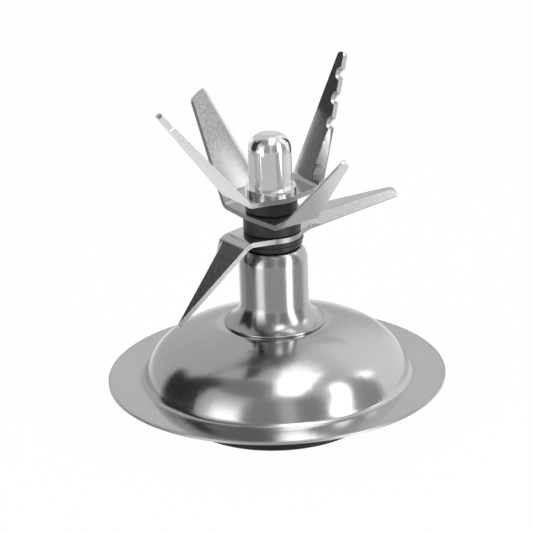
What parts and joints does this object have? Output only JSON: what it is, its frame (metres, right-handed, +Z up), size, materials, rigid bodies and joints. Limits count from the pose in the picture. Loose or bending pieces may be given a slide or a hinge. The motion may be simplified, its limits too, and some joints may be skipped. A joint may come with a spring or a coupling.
{
  "type": "blender blade assembly",
  "caption": "Blender blade unit: a pressed steel dome base with a flange and bearing neck, and a spinning stack of bent blades, spacers and cap nut over a drive coupling.",
  "frame": {"origin": "on the shaft's axis, level with the coupling's bottom rim", "axes": "+Z up along the shaft towards the cap nut, -Y towards the picture's camera, +X to its right"},
  "size_m": [0.08, 0.08, 0.0854],
  "materials": {
    "dome_steel": "polished, fine circular brushing",
    "neck_steel": "polished",
    "blade_steel": "satin, lengthwise grain",
    "nut_chrome": "polished",
    "shaft_steel": "ground",
    "washer_steel": "satin",
    "spring_steel": "black oxide",
    "washer_nylon": "matt",
    "spacer_black": "satin",
    "ring_rubber": "satin",
    "seal_rubber": "matt",
    "bush_bronze": "porous, oiled",
    "felt": "felted",
    "insert_brass": "machined",
    "coupling_black": "moulded"
  },
  "bodies": {
    "base": {"dome_base": "dome_steel", "bearing_neck": "neck_steel", "neck_o_ring": "seal_rubber", "upper_bush": "bush_bronze", "lower_bush": "bush_bronze", "oil_felt": "felt", "shaft_seal": "seal_rubber"},
    "rotor": {"drive_shaft": "shaft_steel", "upper_thrust_washer": "washer_nylon", "lower_thrust_washer": "washer_steel", "retaining_clip": "spring_steel", "slinger_ring": "ring_rubber", "lower_blade": "blade_steel", "lower_spacer": "spacer_black", "middle_blade": "blade_steel", "upper_spacer": "spacer_black", "upper_blade": "blade_steel", "cap_nut": "nut_chrome", "coupling_insert": "insert_brass", "drive_coupling": "coupling_black"}
  },
  "joints": [
    {"name": "blade_spin", "type": "hinge", "parent": "base", "child": "rotor", "pos_m": [0, 0, 0.0302], "axis": [0, 0, 1], "continuous": true}
  ]
}
